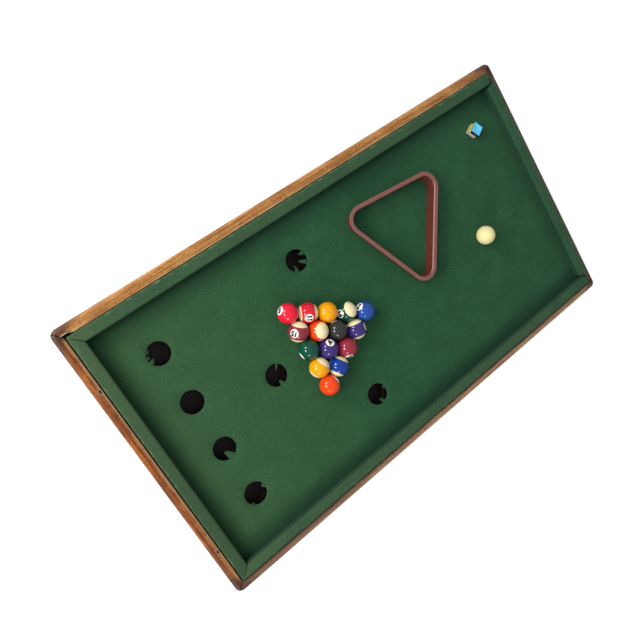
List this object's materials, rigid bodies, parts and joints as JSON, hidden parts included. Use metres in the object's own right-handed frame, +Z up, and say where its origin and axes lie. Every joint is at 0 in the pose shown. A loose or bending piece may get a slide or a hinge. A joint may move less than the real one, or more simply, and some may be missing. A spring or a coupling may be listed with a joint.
{
  "type": "bagatelle board game",
  "caption": "Tabletop bagatelle and pool board: wooden frame, cloth-covered cushions round a green cloth bed with sunken pockets, numbered balls, a triangle rack and chalk.",
  "frame": {"origin": "middle of the frame's underside, on the table", "axes": "+X along the board, away from the row of pockets; +Y across it, towards the rack and chalk; +Z up"},
  "size_m": [1, 0.546, 0.082],
  "materials": {
    "rail_wood": "worn varnished hardwood",
    "ledger_wood": "plain sawn softwood",
    "base_board": "unfinished hardboard",
    "bed_wood": "unfinished plywood",
    "bed_cloth": "short-napped woollen cloth",
    "cushion_cloth": "worn woollen cloth",
    "cushion_wood": "plain planed softwood",
    "cushion_rubber": "moulded rubber strip",
    "cup": "turned and stained wood",
    "screw_steel": "bright zinc",
    "nail_steel": "dull drawn wire",
    "rack_plastic": "moulded plastic",
    "chalk": "matte pressed chalk",
    "chalk_label": "printed paper",
    "cue_ball": "polished phenolic resin",
    "ball_01": "polished resin, one colour with a numbered disc",
    "ball_02": "polished resin, one colour with a numbered disc",
    "ball_03": "polished resin, one colour with a numbered disc",
    "ball_04": "polished resin, one colour with a numbered disc",
    "ball_05": "polished resin, one colour with a numbered disc",
    "ball_06": "polished resin, one colour with a numbered disc",
    "ball_07": "polished resin, one colour with a numbered disc",
    "ball_08": "polished resin, one colour with a numbered disc",
    "ball_09": "polished resin, cream with a coloured band and a numbered disc",
    "ball_10": "polished resin, cream with a coloured band and a numbered disc",
    "ball_11": "polished resin, cream with a coloured band and a numbered disc",
    "ball_12": "polished resin, cream with a coloured band and a numbered disc",
    "ball_13": "polished resin, cream with a coloured band and a numbered disc",
    "ball_14": "polished resin, cream with a coloured band and a numbered disc",
    "ball_15": "polished resin, cream with a coloured band and a numbered disc"
  },
  "bodies": {
    "board": {"rail_back": "rail_wood", "rail_front": "rail_wood", "rail_left": "rail_wood", "rail_right": "rail_wood", "ledger_back": "ledger_wood", "ledger_front": "ledger_wood", "ledger_left": "ledger_wood", "ledger_right": "ledger_wood", "cross_bearer_1": "ledger_wood", "cross_bearer_2": "ledger_wood", "cross_bearer_3": "ledger_wood", "base_panel": "base_board", "bed_board": "bed_wood", "bed_cloth": "bed_cloth", "cushion_backing_back": "cushion_wood", "cushion_backing_front": "cushion_wood", "cushion_backing_left": "cushion_wood", "cushion_backing_right": "cushion_wood", "cushion_rubber_back": "cushion_rubber", "cushion_rubber_front": "cushion_rubber", "cushion_rubber_left": "cushion_rubber", "cushion_rubber_right": "cushion_rubber", "cushion_cover_back": "cushion_cloth", "cushion_cover_front": "cushion_cloth", "cushion_cover_left": "cushion_cloth", "cushion_cover_right": "cushion_cloth", "pocket_cup_1": "cup", "pocket_cup_2": "cup", "pocket_cup_3": "cup", "pocket_cup_4": "cup", "pocket_cup_5": "cup", "pocket_cup_6": "cup", "pocket_cup_7": "cup", "base_screws": "screw_steel", "bed_screws": "screw_steel", "cushion_screws": "screw_steel", "corner_nails": "nail_steel", "rail_pins": "nail_steel"},
    "ball_01": {"ball_01": "ball_01"},
    "ball_02": {"ball_02": "ball_02"},
    "ball_03": {"ball_03": "ball_03"},
    "ball_04": {"ball_04": "ball_04"},
    "ball_05": {"ball_05": "ball_05"},
    "ball_06": {"ball_06": "ball_06"},
    "ball_07": {"ball_07": "ball_07"},
    "ball_08": {"ball_08": "ball_08"},
    "ball_09": {"ball_09": "ball_09"},
    "ball_10": {"ball_10": "ball_10"},
    "ball_11": {"ball_11": "ball_11"},
    "ball_12": {"ball_12": "ball_12"},
    "ball_13": {"ball_13": "ball_13"},
    "ball_14": {"ball_14": "ball_14"},
    "ball_15": {"ball_15": "ball_15"},
    "cue_ball": {"cue_ball": "cue_ball"},
    "rack": {"rack_triangle": "rack_plastic"},
    "chalk": {"chalk_cube": "chalk", "chalk_label": "chalk_label"}
  },
  "joints": [
    {"name": "ball_01_lift", "type": "slide", "parent": "board", "child": "ball_01", "axis": [0, 0, 1], "range_m": [0, 0.08]},
    {"name": "ball_02_lift", "type": "slide", "parent": "board", "child": "ball_02", "axis": [0, 0, 1], "range_m": [0, 0.08]},
    {"name": "ball_03_lift", "type": "slide", "parent": "board", "child": "ball_03", "axis": [0, 0, 1], "range_m": [0, 0.08]},
    {"name": "ball_04_lift", "type": "slide", "parent": "board", "child": "ball_04", "axis": [0, 0, 1], "range_m": [0, 0.08]},
    {"name": "ball_05_lift", "type": "slide", "parent": "board", "child": "ball_05", "axis": [0, 0, 1], "range_m": [0, 0.08]},
    {"name": "ball_06_lift", "type": "slide", "parent": "board", "child": "ball_06", "axis": [0, 0, 1], "range_m": [0, 0.08]},
    {"name": "ball_07_lift", "type": "slide", "parent": "board", "child": "ball_07", "axis": [0, 0, 1], "range_m": [0, 0.08]},
    {"name": "ball_08_lift", "type": "slide", "parent": "board", "child": "ball_08", "axis": [0, 0, 1], "range_m": [0, 0.08]},
    {"name": "ball_09_lift", "type": "slide", "parent": "board", "child": "ball_09", "axis": [0, 0, 1], "range_m": [0, 0.08]},
    {"name": "ball_10_lift", "type": "slide", "parent": "board", "child": "ball_10", "axis": [0, 0, 1], "range_m": [0, 0.08]},
    {"name": "ball_11_lift", "type": "slide", "parent": "board", "child": "ball_11", "axis": [0, 0, 1], "range_m": [0, 0.08]},
    {"name": "ball_12_lift", "type": "slide", "parent": "board", "child": "ball_12", "axis": [0, 0, 1], "range_m": [0, 0.08]},
    {"name": "ball_13_lift", "type": "slide", "parent": "board", "child": "ball_13", "axis": [0, 0, 1], "range_m": [0, 0.08]},
    {"name": "ball_14_lift", "type": "slide", "parent": "board", "child": "ball_14", "axis": [0, 0, 1], "range_m": [0, 0.08]},
    {"name": "ball_15_lift", "type": "slide", "parent": "board", "child": "ball_15", "axis": [0, 0, 1], "range_m": [0, 0.08]},
    {"name": "cue_ball_lift", "type": "slide", "parent": "board", "child": "cue_ball", "axis": [0, 0, 1], "range_m": [0, 0.08]},
    {"name": "rack_lift", "type": "slide", "parent": "board", "child": "rack", "axis": [0, 0, 1], "range_m": [0, 0.08]},
    {"name": "chalk_lift", "type": "slide", "parent": "board", "child": "chalk", "axis": [0, 0, 1], "range_m": [0, 0.08]}
  ]
}
